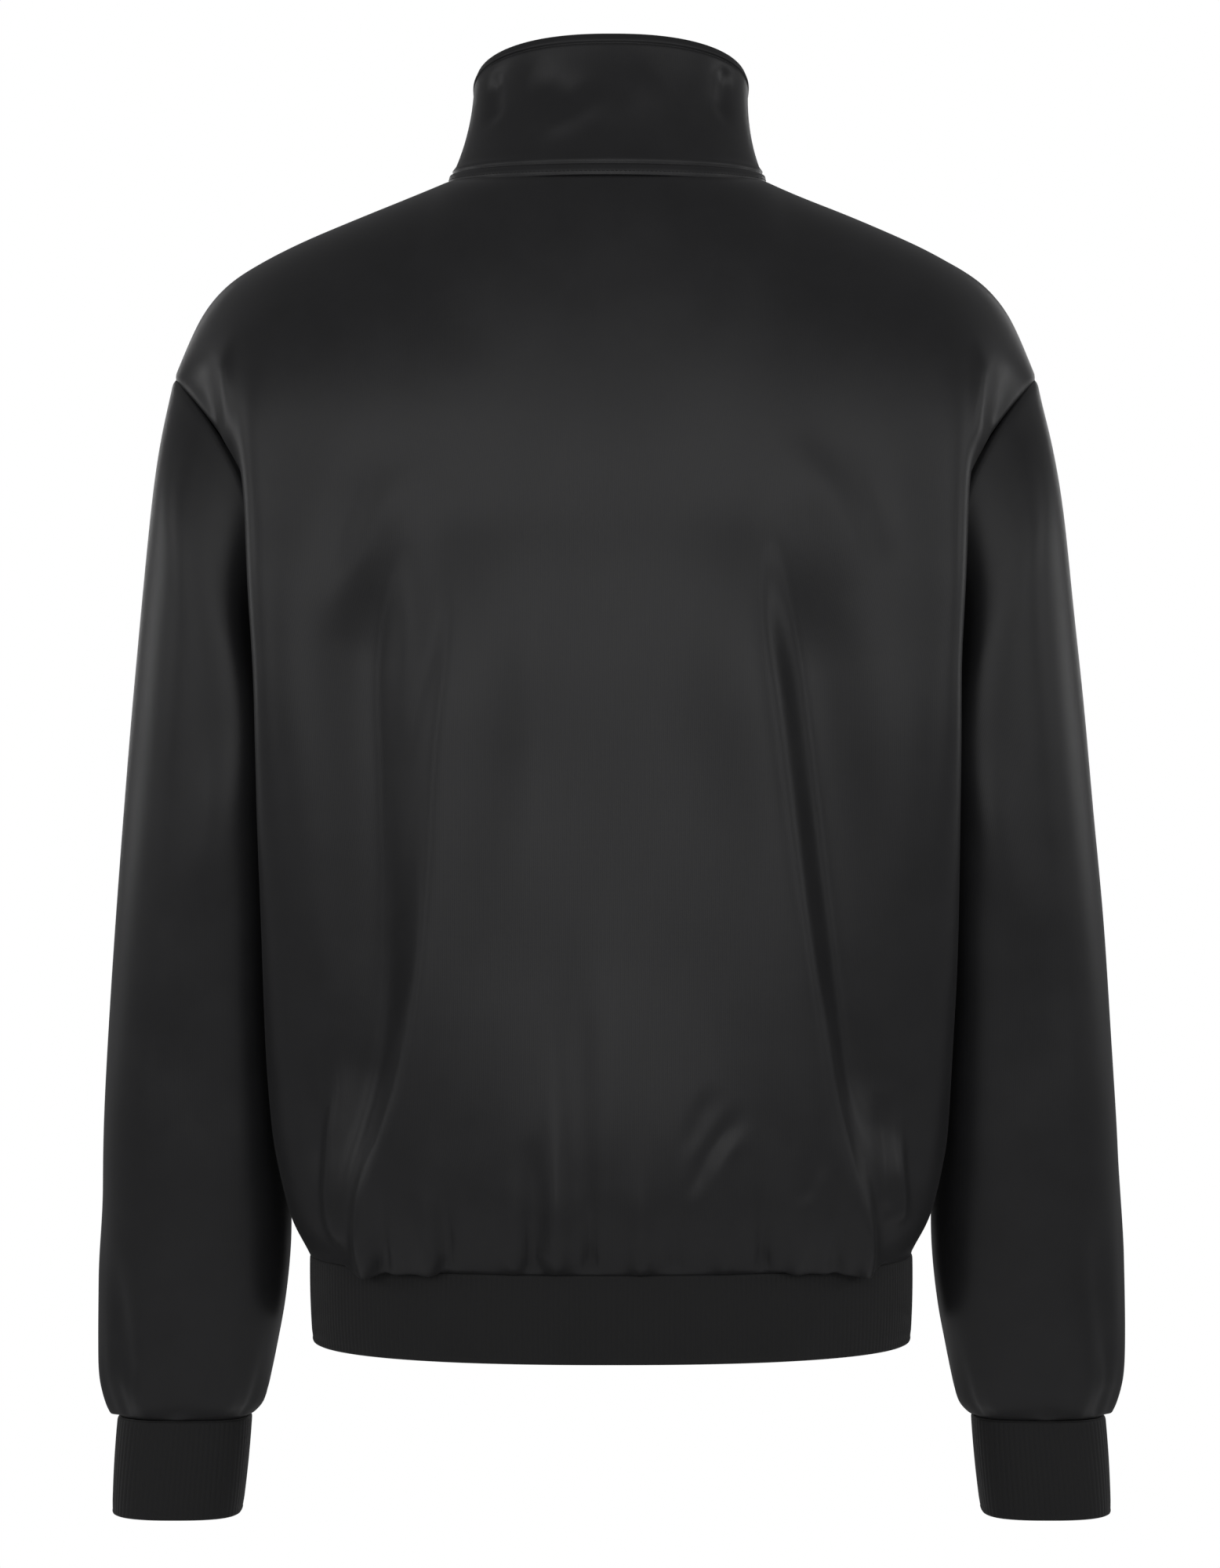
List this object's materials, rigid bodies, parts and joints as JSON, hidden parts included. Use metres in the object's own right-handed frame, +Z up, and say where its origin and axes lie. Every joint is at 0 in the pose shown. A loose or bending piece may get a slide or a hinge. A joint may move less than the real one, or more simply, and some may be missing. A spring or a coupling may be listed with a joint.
{
  "type": "track jacket",
  "caption": "Zip-front track jacket with a stand collar, set-in sleeves and ribbed waistband and cuffs, filled out as worn with open neck, hem, armholes and cuffs.",
  "frame": {"origin": "middle of the neck base, level with the high points of the shoulders, where the wearer's neck and shoulders hold the jacket up", "axes": "+Z up, -Y out of the wearer's front, +X to the wearer's left"},
  "size_m": [0.5779, 0.2753, 0.8213],
  "materials": {
    "satin": "black satin tricot knit, soft sheen",
    "rib_knit": "black fine rib knit, matt",
    "zip_tape": "black woven zip tape, matt",
    "zip_teeth": "black moulded coil teeth, low gloss",
    "zip_metal": "black enamel on die-cast metal, satin"
  },
  "bodies": {
    "jacket": {"back": "satin", "front_left": "satin", "front_right": "satin", "sleeve_left": "satin", "sleeve_right": "satin", "collar": "satin", "hem_rib": "rib_knit", "cuff_left": "rib_knit", "cuff_right": "rib_knit", "zip_tape_left": "zip_tape", "zip_tape_right": "zip_tape", "zip_chain": "zip_teeth", "zip_slider": "zip_metal", "zip_box": "zip_metal", "zip_stop_left": "zip_metal", "zip_stop_right": "zip_metal"},
    "pull_tab": {"zip_pull": "zip_metal"}
  },
  "joints": [
    {"name": "pull_swing", "type": "hinge", "parent": "jacket", "child": "pull_tab", "pos_m": [0.00137, -0.08217, 0.00772], "axis": [-1, 0, 0], "range_deg": [0, 140]}
  ]
}
